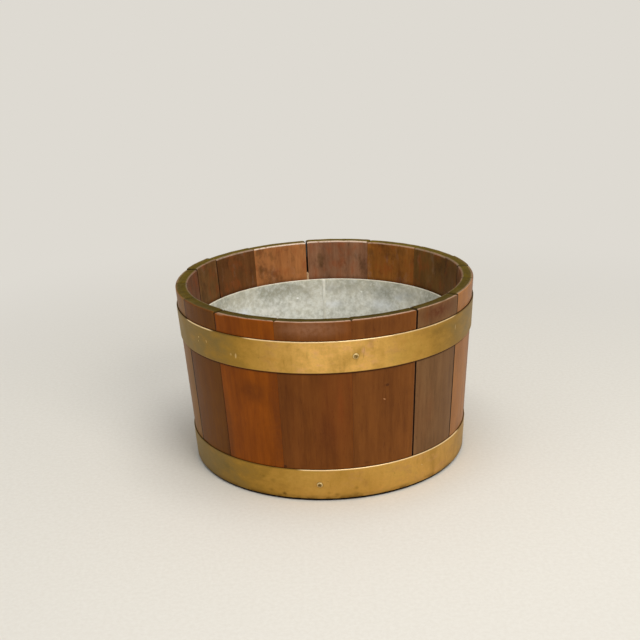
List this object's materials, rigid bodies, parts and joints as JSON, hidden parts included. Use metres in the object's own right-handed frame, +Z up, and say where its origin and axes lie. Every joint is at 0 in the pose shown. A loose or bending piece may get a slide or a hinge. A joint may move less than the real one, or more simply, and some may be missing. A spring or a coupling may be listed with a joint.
{
  "type": "coopered planter tub",
  "caption": "Round coopered hardwood planter tub, tapered towards the foot, bound by two riveted brass hoops, with a lift-out sheet metal liner.",
  "frame": {"origin": "centre of the foot circle, on the surface that the tub stands on", "axes": "+Z up along the tub's axis, -Y towards the pictured front, +X to the right seen from the front"},
  "size_m": [0.4316, 0.4327, 0.263],
  "materials": {
    "stave_red": "satin varnish",
    "stave_orange": "satin varnish",
    "stave_dark": "satin varnish",
    "base_wood": "bare sawn",
    "dowel_wood": "bare",
    "hoop_brass": "aged, brushed by wear",
    "screw_brass": "aged",
    "rivet_brass": "aged",
    "liner_zinc": "weathered zinc coat",
    "solder": "dull"
  },
  "bodies": {
    "tub": {"stave_01": "stave_red", "stave_02": "stave_orange", "stave_03": "stave_dark", "stave_04": "stave_red", "stave_05": "stave_orange", "stave_06": "stave_dark", "stave_07": "stave_dark", "stave_08": "stave_orange", "stave_09": "stave_red", "stave_10": "stave_orange", "stave_11": "stave_dark", "stave_12": "stave_dark", "stave_13": "stave_red", "stave_14": "stave_dark", "stave_15": "stave_dark", "stave_16": "stave_orange", "base_board_01": "base_wood", "base_board_02": "base_wood", "base_board_03": "base_wood", "base_board_04": "base_wood", "base_dowels": "dowel_wood", "upper_hoop": "hoop_brass", "lower_hoop": "hoop_brass", "upper_hoop_rivets": "rivet_brass", "lower_hoop_rivets": "rivet_brass", "upper_hoop_screws": "screw_brass", "lower_hoop_screws": "screw_brass"},
    "liner": {"liner_wall": "liner_zinc", "liner_bottom": "liner_zinc", "liner_seam": "solder", "liner_solder": "solder"}
  },
  "joints": [
    {"name": "liner_lift", "type": "slide", "parent": "tub", "child": "liner", "axis": [0, 0, 1], "range_m": [0, 0.24]}
  ]
}
